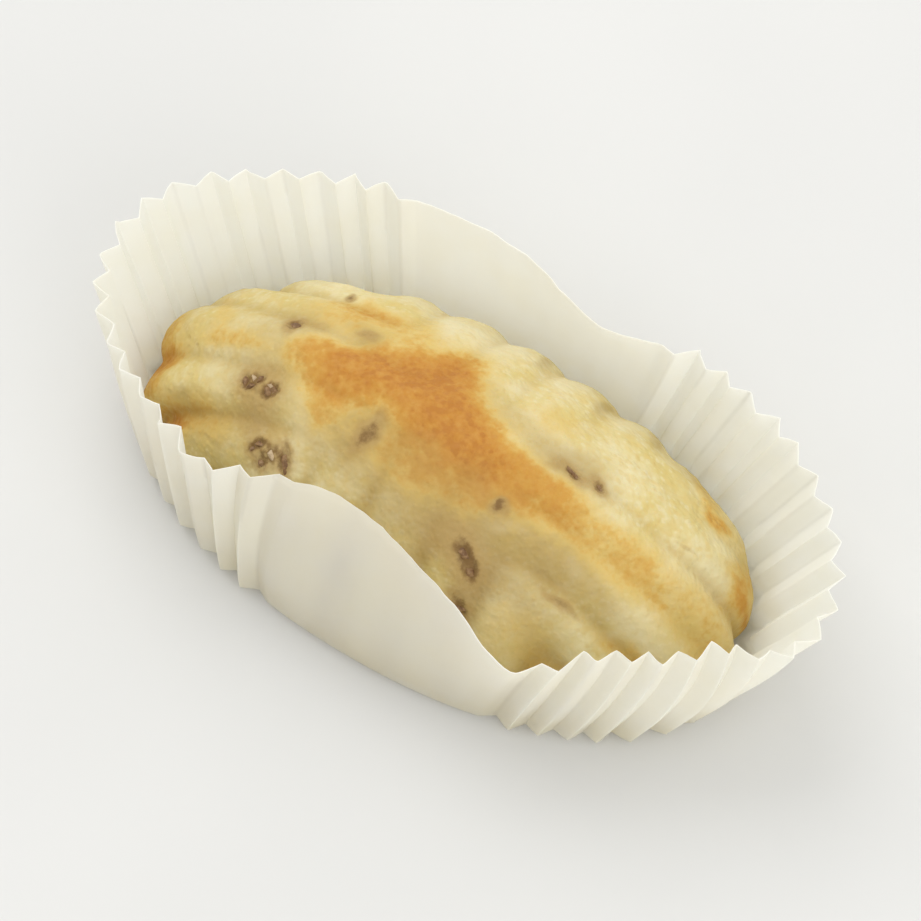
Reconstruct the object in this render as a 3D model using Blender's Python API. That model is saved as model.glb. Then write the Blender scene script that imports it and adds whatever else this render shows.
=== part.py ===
"""Maamoul cookie in its oval paper case.

The cookie is a moulded oval dome: a rib along its crest, a rib across its
middle, and nested L-shaped ribs in each quarter whose ends scallop the rim.
The case is thin paper, pleated round both ends and plain along both sides.

Lengths are in millimetres until a mesh is made, which is in metres.
+X runs along the cookie, +Z is up, and the case stands on Z = 0.
"""

import math

import bmesh
import bpy
from mathutils import Vector, noise

METRES = 0.001

# Cookie.
COOKIE_LENGTH = 62.0
COOKIE_WIDTH = 33.0
COOKIE_HEIGHT = 20.0
EDGE_HEIGHT = 4.2          # the side, up to where the dome starts
EDGE_ROUNDING = 1.1        # how far the bottom edge tucks in
CREST_RISE = 0.7           # how far the crest rib stands above the dome
CREST_SPREAD = 3.4
DOME_FULLNESS = 2.2
DOME_SHARPNESS = 0.72
RIM_FALL = 0.0001          # keeps the slope finite where the dome meets the side
TAPER = 0.045              # the +X end is a little narrower than the other
BEND = 0.5                 # the crest bows sideways by this much at the tips

# Ribs: one unit of rib number is the step from one rib to the next.
SIDE_RIB_PITCH = 6.4       # along the rim of a long side
CREST_RIB_PITCH = 4.9      # from the crest rib to the next one, in plan
RIB_CROWDING = 0.021       # how much closer the lower ribs lie in plan
RIB_SPLAY = 0.0065         # how much the long ribs spread towards the tips
RIB_CORNER = 0.55          # rounding of an L's corner, in rib steps
RIB_WANDER = 0.10
WANDER_SIZE = 9.0
GROOVE_AT_CREST = 0.5
GROOVE_AT_RIM = 1.6
GROOVE_SOFTNESS = 0.04
GROOVE_AT_BASE = 0.7       # share of the rim's groove that reaches the base
# Places where the cookie leaves its even oval, counted in degrees from the +X
# tip: middle, spread, swell at the rim, share of the grooves that is missing.
SWELLS = (
    (40, 24, 0.9, 0.85),
    (105, 45, 0.0, 0.4),
    (4, 18, -0.9, 0.0),
    (152, 9, -0.4, 0.0),
    (180, 16, 1.0, 0.65),
    (203, 10, 1.4, 0.0),
)
UNEVENNESS = 0.35
UNEVENNESS_SIZE = 11.0
LENGTH_STEPS = 60
WIDTH_STEPS = 36

# Paper case.
PAPER = 0.25
CASE_BASE_LENGTH = 64.4
CASE_BASE_WIDTH = 35.8
CASE_RIM_LENGTH = 76.0
CASE_RIM_WIDTH = 38.6
CASE_HEIGHT = 16.5
CASE_LEAN = 1.2            # the rim sits this far towards +Y of the floor
CASE_END_LEAN = 0.9        # and this far towards +X of it
CASE_HUG = 2.8             # how far the -Y wall also leans in over the cookie
# Places where the wall is pressed out of its oval, counted in degrees from the
# +X tip: middle, spread, push inwards at the rim, drop of the rim.
PRESSES = (
    (84, 9.5, 3.2, 0.3),
    (242, 6, -1.3, 0.0),
    (264, 15, 4.4, 0.0),
    (293, 8, -3.0, 1.6),
    (308, 12, 1.8, 0.0),
    (332, 15, 3.6, 0.0),
)
CASE_SQUARENESS = 2.15
PLAIN_SIDE = 27.0          # length of each unpleated side, at the rim
PLEATS_TURNED = 3.0        # the pleats sit this far round the rim from the tips
FOLDS_PER_END = 40         # two folds make one pleat
PLAIN_STEPS = 6
PLEAT_AT_RIM = 0.6         # how far a fold stands out or in
PLEAT_VARIATION = 0.35
PLEAT_AT_FLOOR = 0.2
CORNER_RADIUS = 1.2
WALL_LEVELS = (0.0, 0.3, 0.6, 0.82, 1.0)
RIM_WAVE = 0.45
RIM_WAVE_SIZE = 10.0
GAP = 0.3                  # between the cookie's base and the case's floor

ARC_SAMPLES = 1440


def waver(x, y, size, seed):
    """Smooth unevenness between about -1 and 1, with features of one size."""
    return noise.noise(Vector((x / size, y / size, seed)))


def smallest(first, second, rounding):
    """The smaller of two numbers, with its corner rounded."""
    reach = max(rounding - abs(first - second), 0.0) / rounding
    return min(first, second) - reach * reach * rounding / 4


# The cookie ----------------------------------------------------------------

def rib_number(x, y):
    """Whole numbers lie on ribs: 0 on the crest and middle ribs, then each L."""
    x = x + RIB_WANDER * SIDE_RIB_PITCH * waver(x, y, WANDER_SIZE, 3.7)
    y = y + RIB_WANDER * CREST_RIB_PITCH * waver(x, y, WANDER_SIZE, 8.1)
    along = abs(x) / SIDE_RIB_PITCH
    spread = abs(y) / (1 + RIB_SPLAY * (abs(x) - SIDE_RIB_PITCH))
    across = spread / CREST_RIB_PITCH * (1 + RIB_CROWDING * (spread - CREST_RIB_PITCH))
    return smallest(along, across, RIB_CORNER)


def groove(x, y):
    """0 on a rib's top and 1 at the bottom of the groove beside it."""
    ridge = math.cos(math.pi * rib_number(x, y)) ** 2
    return 1 - math.sqrt((ridge + GROOVE_SOFTNESS) / (1 + GROOVE_SOFTNESS))


def disc_from_square(across, up):
    """Even map of the square from -1 to 1 onto the unit disc."""
    x = across * math.sqrt(1 - up * up / 2)
    y = up * math.sqrt(1 - across * across / 2)
    return x, y


def shape_plan(x, y):
    """Taper and bend the plan of the cookie, which is first made symmetric."""
    share = x / (COOKIE_LENGTH / 2)
    narrow = 1 - TAPER * share
    return x, y * narrow + BEND * (share * share - 0.5)


def swollen(disc_x, disc_y):
    """(swell, share of the groove left) at the rim, in the direction of a point."""
    swell = 0.0
    left = 1.0
    for middle, spread, outward, missing in SWELLS:
        away = (math.degrees(math.atan2(disc_y, disc_x)) - middle + 180) % 360 - 180
        share = math.exp(-(away / spread) ** 2)
        swell += outward * share
        left *= 1 - missing * share
    return swell, left


def cookie_top(disc_x, disc_y):
    """A point of the dome, with its grooves, over one point of the unit disc."""
    half_length = COOKIE_LENGTH / 2
    half_width = COOKIE_WIDTH / 2
    x = half_length * disc_x
    y = half_width * disc_y
    radius = math.hypot(disc_x, disc_y)
    fall = max(1 - radius ** DOME_FULLNESS, 0)
    rise = COOKIE_HEIGHT - CREST_RISE - EDGE_HEIGHT
    z = EDGE_HEIGHT + rise * fall ** DOME_SHARPNESS
    z += CREST_RISE * math.exp(-(y / CREST_SPREAD) ** 2) * (1 - radius ** 4)
    z += UNEVENNESS * waver(x, y, UNEVENNESS_SIZE, 1.3) * (1 - radius ** 6)
    slope = rise * DOME_SHARPNESS * DOME_FULLNESS * max(fall, RIM_FALL) ** (DOME_SHARPNESS - 1)
    slope *= radius ** (DOME_FULLNESS - 2)
    out = Vector((slope * disc_x / half_length, slope * disc_y / half_width, 1)).normalized()
    swell, left = swollen(disc_x, disc_y)
    depth = GROOVE_AT_CREST + (GROOVE_AT_RIM * left - GROOVE_AT_CREST) * radius ** 2
    point = Vector((x, y, z)) - out * depth * groove(x, y)
    away = Vector((disc_x / half_length, disc_y / half_width, 0)).normalized()
    point += away * swell * radius ** 3
    plan = shape_plan(point.x, point.y)
    return Vector((plan[0], plan[1], point.z))


def cookie_side(disc_x, disc_y, tuck, z, groove_share):
    """A point of the side, tucked in from the rim by a distance."""
    half_length = COOKIE_LENGTH / 2
    half_width = COOKIE_WIDTH / 2
    x = half_length * disc_x
    y = half_width * disc_y
    out = Vector((disc_x / half_length, disc_y / half_width)).normalized()
    swell, left = swollen(disc_x, disc_y)
    inward = tuck + groove_share * GROOVE_AT_RIM * left * groove(x, y) - swell
    plan = shape_plan(x - out.x * inward, y - out.y * inward)
    return Vector((plan[0], plan[1], z))


def make_cookie():
    """Dome grid, then its rim extruded down to the flat base."""
    mesh = bmesh.new()
    bmesh.ops.create_grid(mesh, x_segments=LENGTH_STEPS, y_segments=WIDTH_STEPS, size=1)
    rim = {}
    for vert in mesh.verts:
        disc = disc_from_square(vert.co.x, vert.co.y)
        if vert.is_boundary:
            rim[vert] = disc
        vert.co = cookie_top(disc[0], disc[1])

    side_profile = (
        (0.0, EDGE_HEIGHT * 0.5, 1.0),
        (EDGE_ROUNDING * 0.25, EDGE_HEIGHT * 0.16, 0.9),
        (EDGE_ROUNDING, 0.0, GROOVE_AT_BASE),
    )
    for tuck, z, groove_share in side_profile:
        edges = [edge for edge in mesh.edges if edge.is_boundary]
        made = bmesh.ops.extrude_edge_only(mesh, edges=edges)["geom"]
        lower = {}
        for vert in (item for item in made if isinstance(item, bmesh.types.BMVert)):
            above = next(e.other_vert(vert) for e in vert.link_edges if e.other_vert(vert) in rim)
            lower[vert] = rim[above]
            vert.co = cookie_side(rim[above][0], rim[above][1], tuck, z, groove_share)
        rim = lower
    bmesh.ops.contextual_create(mesh, geom=[edge for edge in mesh.edges if edge.is_boundary])
    bmesh.ops.translate(mesh, vec=(0, 0, PAPER + GAP), verts=mesh.verts)
    return mesh


# The paper case ------------------------------------------------------------

def oval(angle, length, width):
    """A point of a slightly squared oval."""
    power = 2 / CASE_SQUARENESS
    x = math.copysign(abs(math.cos(angle)) ** power, math.cos(angle)) * length / 2
    y = math.copysign(abs(math.sin(angle)) ** power, math.sin(angle)) * width / 2
    return Vector((x, y))


def arc_lengths():
    """Running length round the rim's oval, one entry for each sampled angle."""
    total = 0.0
    lengths = [0.0]
    last = oval(0, CASE_RIM_LENGTH, CASE_RIM_WIDTH)
    for step in range(1, ARC_SAMPLES + 1):
        here = oval(2 * math.pi * step / ARC_SAMPLES, CASE_RIM_LENGTH, CASE_RIM_WIDTH)
        total += (here - last).length
        lengths.append(total)
        last = here
    return lengths


def angle_at(lengths, distance):
    """The oval's angle at a distance along its rim, counted from the +X tip."""
    distance = distance % lengths[-1]
    step = 0
    while lengths[step + 1] < distance:
        step += 1
    part = (distance - lengths[step]) / (lengths[step + 1] - lengths[step])
    return 2 * math.pi * (step + part) / ARC_SAMPLES


def case_stations():
    """(angle, fold) round the case: fold is 1 out, -1 in, and 0 on a plain side."""
    lengths = arc_lengths()
    whole = lengths[-1]
    pleated = whole / 2 - PLAIN_SIDE
    fold_step = pleated / FOLDS_PER_END
    stations = []
    for tip in (PLEATS_TURNED, whole / 2 + PLEATS_TURNED):
        for fold in range(FOLDS_PER_END + 1):
            distance = tip + (fold - FOLDS_PER_END / 2) * fold_step
            turned = 0 if fold in (0, FOLDS_PER_END) else (1 if fold % 2 == 0 else -1)
            stations.append((angle_at(lengths, distance), turned))
        for step in range(1, PLAIN_STEPS):
            distance = tip + pleated / 2 + PLAIN_SIDE * step / PLAIN_STEPS
            stations.append((angle_at(lengths, distance), 0))
    return stations


def pressed(angle):
    """(push inwards, drop) of the rim where something has pressed the wall."""
    push = 0.0
    drop = 0.0
    for middle, spread, inward, lower in PRESSES:
        away = (math.degrees(angle) - middle + 180) % 360 - 180
        share = math.exp(-(away / spread) ** 2)
        push += inward * share
        drop += lower * share
    return push, drop


def case_ring(stations, level, inward, z):
    """Points round the wall at a level, 0 at the floor and 1 at the rim."""
    length = CASE_BASE_LENGTH + (CASE_RIM_LENGTH - CASE_BASE_LENGTH) * level
    width = CASE_BASE_WIDTH + (CASE_RIM_WIDTH - CASE_BASE_WIDTH) * level
    pleat = PLEAT_AT_FLOOR + (PLEAT_AT_RIM - PLEAT_AT_FLOOR) * level
    points = []
    for angle, fold in stations:
        plan = oval(angle, length, width)
        ahead = oval(angle + 0.01, length, width) - oval(angle - 0.01, length, width)
        out = Vector((ahead.y, -ahead.x)).normalized()
        rim_point = oval(angle, CASE_RIM_LENGTH, CASE_RIM_WIDTH)
        wave = waver(rim_point.x, rim_point.y, RIM_WAVE_SIZE, 5.5)
        lift = waver(rim_point.x, rim_point.y, RIM_WAVE_SIZE / 2, 9.2)
        push, drop = pressed(angle)
        stand = fold * pleat * (1 + PLEAT_VARIATION * lift) + RIM_WAVE * level * wave - inward
        plan = plan + out * (stand - push * level ** 3)
        lean = CASE_LEAN * level + CASE_HUG * level ** 1.5 * max(-math.sin(angle), 0) ** 1.5
        height = z + RIM_WAVE * level * lift - drop * level ** 2
        end_lean = CASE_END_LEAN * (level - 1)
        points.append(Vector((plan.x + end_lean, plan.y + lean, height)))
    return points


def case_profile():
    """(level, inward, z) from the floor's edge up the outside, then down inside."""
    wall_height = CASE_HEIGHT - CORNER_RADIUS
    arc_middle = CORNER_RADIUS * (1 - math.sqrt(0.5))
    inner_middle = arc_middle + PAPER * math.sqrt(0.5)
    outside = [(0, CORNER_RADIUS, 0), (0, arc_middle, arc_middle)]
    outside += [(level, 0, CORNER_RADIUS + wall_height * level) for level in WALL_LEVELS]
    inside = [(level, PAPER, z) for level, _, z in reversed(outside[2:])]
    inside += [(0, inner_middle, inner_middle), (0, CORNER_RADIUS, PAPER)]
    return outside + inside


def make_case():
    """One loop of points, extruded up the outside, over the rim and down inside."""
    stations = case_stations()
    profile = case_profile()
    mesh = bmesh.new()
    ring = bmesh.ops.create_circle(mesh, segments=len(stations), radius=1)["verts"]
    for vert, point in zip(ring, case_ring(stations, *profile[0])):
        vert.co = point
    edges = list(mesh.edges)
    bmesh.ops.contextual_create(mesh, geom=edges)
    order = {vert: index for index, vert in enumerate(ring)}
    for profile_point in profile[1:]:
        points = case_ring(stations, *profile_point)
        made = bmesh.ops.extrude_edge_only(mesh, edges=edges)["geom"]
        upper = {}
        for vert in (item for item in made if isinstance(item, bmesh.types.BMVert)):
            below = next(e.other_vert(vert) for e in vert.link_edges if e.other_vert(vert) in order)
            upper[vert] = order[below]
            vert.co = points[order[below]]
        order = upper
        edges = [edge for edge in mesh.edges if edge.is_boundary]
    bmesh.ops.contextual_create(mesh, geom=edges)
    return mesh


# Objects -------------------------------------------------------------------

def make_material(name, color, roughness):
    """A plain matt material."""
    material = bpy.data.materials.new(name)
    material.use_nodes = True
    shader = material.node_tree.nodes["Principled BSDF"]
    shader.inputs["Base Color"].default_value = (*color, 1)
    shader.inputs["Roughness"].default_value = roughness
    shader.inputs["Metallic"].default_value = 0
    return material


def make_object(name, mesh, material):
    """Write a mesh in metres as a named object with its faces pointing out."""
    bmesh.ops.recalc_face_normals(mesh, faces=mesh.faces)
    bmesh.ops.scale(mesh, vec=(METRES, METRES, METRES), verts=mesh.verts)
    data = bpy.data.meshes.new(name)
    mesh.to_mesh(data)
    mesh.free()
    data.materials.append(material)
    item = bpy.data.objects.new(name, data)
    bpy.context.collection.objects.link(item)
    return item


def centre_on_floor(items):
    """Move the meshes so that their common box stands centred on the origin."""
    corners = [vert.co for item in items for vert in item.data.vertices]
    low = [min(corner[axis] for corner in corners) for axis in range(3)]
    high = [max(corner[axis] for corner in corners) for axis in range(3)]
    shift = Vector((-(low[0] + high[0]) / 2, -(low[1] + high[1]) / 2, -low[2]))
    for item in items:
        for vert in item.data.vertices:
            vert.co += shift


def main():
    for item in list(bpy.data.objects):
        bpy.data.objects.remove(item)
    dough = make_material("dough", (0.78, 0.62, 0.30), 0.75)
    paper = make_material("paper", (0.86, 0.84, 0.79), 0.60)
    cookie = make_object("cookie", make_cookie(), dough)
    cookie.data.shade_smooth()
    case = make_object("paper_case", make_case(), paper)
    centre_on_floor([cookie, case])


main()
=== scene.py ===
"""A maamoul cookie in its oval paper case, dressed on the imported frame.

The cookie is a moulded oval of semolina dough, browned along its crest, with
bits of nut showing through. The case is thin greaseproof paper, pleated round
both ends and plain along both sides.

Lengths in this file are in millimetres until a piece is made, in metres.
+X runs along the cookie towards its narrower tip and +Z is up.
"""

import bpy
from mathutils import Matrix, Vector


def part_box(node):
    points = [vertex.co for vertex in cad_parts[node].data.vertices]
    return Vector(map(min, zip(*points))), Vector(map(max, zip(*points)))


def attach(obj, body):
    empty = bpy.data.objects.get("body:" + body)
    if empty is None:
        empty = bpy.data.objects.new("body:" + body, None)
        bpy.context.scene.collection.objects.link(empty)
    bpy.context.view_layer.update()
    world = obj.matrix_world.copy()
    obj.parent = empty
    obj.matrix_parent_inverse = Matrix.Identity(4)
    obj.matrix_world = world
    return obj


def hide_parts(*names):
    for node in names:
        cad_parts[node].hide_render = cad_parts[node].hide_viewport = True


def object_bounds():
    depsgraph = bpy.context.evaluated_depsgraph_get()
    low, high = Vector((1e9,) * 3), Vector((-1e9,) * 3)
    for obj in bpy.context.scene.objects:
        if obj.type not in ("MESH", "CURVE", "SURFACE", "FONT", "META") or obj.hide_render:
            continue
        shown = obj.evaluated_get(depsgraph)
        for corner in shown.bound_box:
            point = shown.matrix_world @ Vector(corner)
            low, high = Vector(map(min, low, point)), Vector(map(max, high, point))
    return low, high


bl_info = {
    "name": "Maamoul cookie in its paper case",
    "version": (1, 0, 0),
    "blender": (4, 5, 0),
    "location": "3D View > Sidebar > Maamoul",
    "description": "Shapes a moulded nut cookie, its bits of nut and its pleated paper case",
    "category": "Add Mesh",
}

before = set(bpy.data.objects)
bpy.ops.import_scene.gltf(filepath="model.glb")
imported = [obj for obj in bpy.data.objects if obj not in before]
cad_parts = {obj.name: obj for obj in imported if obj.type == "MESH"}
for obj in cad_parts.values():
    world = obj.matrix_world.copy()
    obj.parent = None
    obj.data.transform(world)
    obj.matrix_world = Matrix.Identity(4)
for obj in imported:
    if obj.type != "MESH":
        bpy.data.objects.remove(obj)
CAD_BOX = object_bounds()
COOKIE_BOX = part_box("cookie")
CASE_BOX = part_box("paper_case")
COOKIE_SIZE = COOKIE_BOX[1] - COOKIE_BOX[0]
CASE_SIZE = CASE_BOX[1] - CASE_BOX[0]

from math import atan2, copysign, cos, degrees, exp, hypot, pi, radians, sin, sqrt

import bmesh
import bpy
from bpy.props import FloatProperty, FloatVectorProperty, PointerProperty
from bpy.types import Operator, Panel, PropertyGroup
from mathutils import Matrix, Vector
from mathutils.bvhtree import BVHTree
from mathutils.noise import noise, voronoi

METRES = 0.001

# The cookie's form ----
COOKIE_LENGTH = 62.0
COOKIE_WIDTH = 33.0
COOKIE_HEIGHT = 20.0
EDGE_HEIGHT = 4.2  # the side, up to where the dome starts
EDGE_ROUNDING = 1.1  # how far the bottom edge tucks in
CREST_RISE = 0.7  # how far the crest rib stands above the dome
CREST_SPREAD = 3.4
DOME_FULLNESS = 2.2
DOME_SHARPNESS = 0.72
RIM_FALL = 0.0001  # keeps the slope finite where the dome meets the side
TAPER = 0.045  # the +X end is a little narrower than the other
BEND = 0.5  # the crest bows sideways by this much at the tips
SIDE_RIB_PITCH = 6.4  # along the rim of a long side
CREST_RIB_PITCH = 4.9  # from the crest rib to the next one, in plan
RIB_CROWDING = 0.021  # how much closer the lower ribs lie in plan
RIB_SPLAY = 0.0065  # how much the long ribs spread towards the tips
RIB_CORNER = 0.55  # rounding of an L's corner, in rib steps
RIB_WANDER = 0.10
WANDER_SIZE = 9.0
GROOVE_AT_CREST = 0.4
GROOVE_GROWTH = 3.2  # how late the grooves deepen towards the rim
GROOVE_AT_RIM = 1.6
GROOVE_SOFTNESS = 0.04
GROOVE_AT_BASE = 0.7  # share of the rim's groove that reaches the base
# Places where the cookie leaves its even oval, counted in degrees from the +X
# tip: middle, spread, swell at the rim, share of the grooves that is missing.
SWELLS = (
    (40, 24, 0.9, 0.85),
    (105, 45, 0.0, 0.4),
    (4, 18, -0.9, 0.0),
    (152, 9, -0.4, 0.0),
    (180, 16, 1.0, 0.65),
    (203, 10, 1.4, 0.0),
)
UNEVENNESS = 0.35
UNEVENNESS_SIZE = 11.0
# Sandiness of the dough: height, size of its features, seed.
SANDINESS = ((0.14, 3.1, (4, 1, 7)), (0.10, 1.25, (1, 8, 3)), (0.06, 0.7, (9, 2, 5)))
PIT_DEPTH = 0.12
PIT_SPACING = 1.9
RIM_TOAST = 0.55  # how far the oven has toasted the rim
SIDE_STAIN = 0.6  # share of the nuts' stain on the side
SPOT_REACH = 2.6  # soft ovals end this many half sizes out
LENGTH_STEPS = 350
WIDTH_STEPS = 190
RIM_CROWDING = 0.35  # how much finer the dome's net is at its rim
SIDE_STEPS = 6
CORNER_STEPS = 6
BASE_RINGS = (0.985, 0.94, 0.85, 0.66, 0.4, 0.12)

# What lies on the dough, and where shade is painted on it: x, y, length, width, turn in degrees, strength.
BROWNED = (
    (-10.9, -0.2, 11.6, 5.0, 10, 0.85),
    (-7.0, 2.4, 8.0, 4.8, 14, 0.8),
    (-3.2, 3.1, 8.2, 5.2, 82, 0.9),
    (-2.0, -0.6, 9.0, 6.4, 0, 0.8),
    (2.4, -1.4, 9.0, 5.6, -16, 0.85),
    (8.6, -1.9, 11.0, 4.4, -4, 0.5),
    (16.5, -1.7, 15.0, 4.2, 0, 0.34),
    (24.6, -0.6, 10.0, 6.4, 2, 0.19),
    (-11.3, -4.0, 4.4, 4.2, 0, 0.4),
    (-0.6, -5.2, 5.6, 4.8, 0, 0.34),
    (3.4, -4.7, 8.0, 3.2, 0, 0.24),
    (-2.0, -5.6, 22.0, 4.0, 0, 0.2),
    (-13.6, 7.3, 5.2, 2.8, 8, 0.24),
    (-15.0, 5.6, 9.0, 4.2, 12, 0.32),
    (-9.0, 7.2, 7.0, 4.6, -8, 0.2),
    (-23.8, -1.0, 7.6, 2.8, 4, 0.34),
    (-26.8, 2.0, 4.6, 2.0, -62, 0.26),
    (7.2, 5.8, 4.4, 4.0, 0, 0.24),
    (-30.2, -4.0, 3.4, 4.2, -40, 0.5),
    (-30.6, -4.2, 2.0, 2.6, -40, 0.5),
    (-22.9, -8.3, 9.0, 3.4, -8, 0.34),
    # The next row darkens where the left end meets the paper: partly toast, partly painted shadow.
    (-25.2, -8.9, 2.6, 1.3, -20, 0.5),
    (-31.4, -0.6, 2.6, 5.0, 0, 0.26),
    (21.6, 10.4, 7.0, 2.4, -44, 0.26),
    (23.4, 9.0, 3.0, 1.6, -30, 0.42),
    (28.6, 4.3, 1.8, 2.4, 12, 0.4),
    (27.2, 0.4, 5.0, 6.0, 0, 0.1),
    (-30.5, -7.2, 4.0, 3.5, 0, 0.3),
    (27.6, 6.0, 2.4, 3.0, -50, 0.25),
    (22.6, -7.3, 6.4, 2.0, 14, 0.3),
    (14.5, -11.8, 8.0, 3.0, 8, 0.24),
)
STAINED = (
    (-18.4, -4.6, 6.2, 5.0, 0, 0.46),
    (-17.2, -7.2, 4.6, 4.2, -30, 0.32),
    (-14.4, -9.4, 7.6, 4.8, -14, 0.36),
    (-18.9, 2.1, 3.0, 2.3, 80, 0.58),
    (-16.6, 2.9, 2.4, 1.6, 10, 0.26),
    (-16.9, 8.3, 1.4, 1.0, 0, 0.82),
    (-6.4, -4.9, 4.5, 2.3, 81, 0.86),
    (11.4, 1.9, 4.6, 2.0, -10, 0.42),
    (13.9, 2.4, 3.0, 1.9, -36, 0.46),
    (9.7, 1.2, 2.0, 1.6, 20, 0.3),
    (7.6, -4.7, 2.0, 1.6, 20, 0.97),
    (7.2, -9.5, 6.0, 4.2, -30, 0.42),
    (7.3, -9.5, 3.4, 1.7, -32, 0.75),
    (4.4, -8.8, 4.6, 3.4, 10, 0.3),
    (16.2, -7.9, 4.0, 1.1, 0, 0.7),
    (-12.3, 4.2, 2.6, 1.7, 0, 0.62),
    (8.3, -12.3, 3.4, 2.2, -10, 0.46),
    (-3.0, -13.4, 3.6, 2.6, 0, 0.42),
    (-9.0, -12.6, 3.2, 2.4, 0, 0.36),
    (22.9, 3.5, 2.4, 0.5, 16, 0.3),
    # The last row darkens the whole -Y flank a little: partly nut stain, partly painted shade.
    (6.0, -8.0, 24.0, 9.0, -4, 0.1),
)
# Darker dough: partly dough that the filling has darkened, partly painted shade. The broad rows darken the
# -Y flank, the thin rows near y 11 to 13 lie in the grooves at the +Y rim, and the row at -22.9, -8.3
# darkens where the left end meets the paper; these are painted shade.
DAMP_AND_SHADE = (
    (16.5, -5.4, 13.0, 3.6, 0, 0.4),
    (-6.4, -4.9, 4.6, 2.6, 81, 0.95),
    (-12.2, 4.4, 3.4, 2.2, 0, 0.6),
    (7.6, -4.7, 2.6, 2.2, 0, 0.7),
    (3.0, -7.2, 28.0, 9.0, 0, 0.5),
    (1.0, -5.2, 32.0, 5.0, 0, 0.56),
    (3.0, 3.6, 12.0, 4.0, -12, 0.3),
    (5.0, -9.6, 14.0, 5.0, 0, 0.36),
    (14.0, -10.0, 10.0, 4.0, 0, 0.26),
    (11.0, 2.2, 9.0, 5.8, 4, 0.5),
    (-18.6, -3.4, 9.0, 12.0, 8, 0.32),
    (-24.0, 0.5, 14.0, 12.0, 0, 0.14),
    (-22.9, -8.3, 9.0, 3.4, -8, 0.5),
    (-6.5, -5.0, 7.0, 7.0, 0, 0.4),
    (-12.6, 4.4, 7.0, 4.0, 10, 0.36),
    (-18.0, 3.2, 6.0, 4.6, 0, 0.36),
    (1.8, 12.8, 4.4, 1.4, -80, 0.4),
    (8.6, 12.0, 5.4, 1.5, -72, 0.42),
    (14.2, 12.6, 4.4, 1.6, -64, 0.42),
    (18.5, 12.4, 5.0, 1.4, -30, 0.24),
    (21.4, 10.8, 5.6, 1.4, -42, 0.26),
    (27.6, 6.6, 4.4, 2.2, -52, 0.4),
)
# Where the painted shade in the grooves is fainter: x, y, length, width, turn in degrees, strength.
FAINTER_GROOVE_SHADE = ((24.0, -2.0, 15.0, 4.4, 2, 0.9),)
# Paler patches of dough, most of them along the +Y flank and its rim.
PALER_PATCHES = (
    (-3.0, 12.2, 9.0, 6.0, 0, 0.5),
    (5.0, 12.4, 5.0, 4.6, 0, 0.5),
    (11.4, 11.8, 5.0, 4.0, 0, 0.44),
    (-11.0, 12.4, 8.0, 4.6, 0, 0.4),
    (-20.0, 10.0, 10.0, 3.6, 16, 0.3),
    (-6.6, 9.4, 7.4, 2.2, -66, 0.5),
    (2.6, 7.2, 3.0, 2.0, 20, 0.4),
    (16.2, -5.2, 2.8, 1.4, 0, 0.25),
    (10.0, 0.3, 1.2, 0.9, 0, 0.7),
    (23.6, -4.4, 7.0, 2.6, 6, 0.3),
    (25.0, -5.4, 6.0, 2.6, 8, 0.4),
    (26.6, 2.8, 5.0, 4.0, 0, 0.4),
    (9.0, -5.6, 5.0, 1.2, 8, 0.4),
)
# Bits of nut: x, y, length, width, turn in degrees, paleness, how far it is sunk.
NUTS = (
    (-20.0, -4.7, 1.7, 0.8, -54, 0.0, 0.28),
    (-19.3, -5.0, 1.1, 0.6, 34, 0.05, 0.28),
    (-18.7, -4.2, 1.2, 0.6, 66, 0.0, 0.28),
    (-19.3, -4.1, 0.9, 0.8, 20, 0.95, 0.14),
    (-17.2, -5.1, 1.4, 1.0, 14, 0.0, 0.30),
    (-16.8, -4.6, 1.1, 0.7, -50, 0.05, 0.28),
    (-17.4, -4.4, 0.7, 0.5, 0, 0.7, 0.12),
    (-15.6, -9.0, 1.4, 0.8, 10, 0.05, 0.28),
    (-16.1, -9.5, 0.9, 0.6, 50, 0.1, 0.26),
    (-14.7, -10.2, 1.3, 0.8, -25, 0.05, 0.30),
    (-12.6, -9.5, 2.8, 1.0, -56, 0.0, 0.34),
    (-14.0, -9.5, 1.4, 1.0, -30, 0.95, 0.14),
    (-18.9, 2.0, 1.6, 0.9, 74, 0.05, 0.30),
    (11.5, 1.8, 1.9, 0.6, -18, 0.0, 0.34),
    (14.0, 2.3, 1.3, 0.5, -44, 0.1, 0.32),
    (6.7, -9.2, 1.8, 1.0, -30, 0.0, 0.32),
    (7.9, -9.9, 1.8, 1.2, -34, 0.0, 0.34),
    (8.2, -12.3, 1.6, 0.8, -12, 0.05, 0.30),
    (-3.0, -13.5, 1.9, 1.1, 40, 0.1, 0.30),
    (-9.0, -12.6, 1.3, 0.8, -20, 0.2, 0.28),
)
NUT_CUTS = 7  # flat sides of one bit of nut
NUT_THICKNESS = 0.8  # of its width
NUT_FOOTING = 1.1  # the dough's slope is felt this far round a bit
NUT_HOLLOW = 3.0  # the dough is level again this far from a bit
# Cracks: start x, y, end x, y, width, depth.
CRACKS = (
    (21.6, 3.6, 23.0, 4.0, 0.30, 0.16),
    (23.0, 4.0, 24.4, 3.9, 0.26, 0.12),
    (14.2, -7.8, 18.0, -7.9, 0.45, 0.14),
    (10.2, 2.2, 14.2, 2.8, 0.60, 0.16),
    (-26.4, -7.0, -22.8, -8.2, 0.5, 0.14),
    (20.0, 9.6, 24.6, 8.8, 0.5, 0.16),
)
CRACK_WANDER = 0.22

# The case's form ----
PAPER_EDGE = 1.2  # radius of the fold between floor and wall
CASE_BASE_LENGTH = 64.4
CASE_BASE_WIDTH = 35.8
CASE_RIM_LENGTH = 76.0
CASE_RIM_WIDTH = 38.6
CASE_HEIGHT = 16.5
CASE_LEAN = 1.2  # the rim sits this far towards +Y of the floor
CASE_END_LEAN = 0.9  # and this far towards +X of it
CASE_HUG = 2.8  # how far the -Y wall also leans in over the cookie
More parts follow.
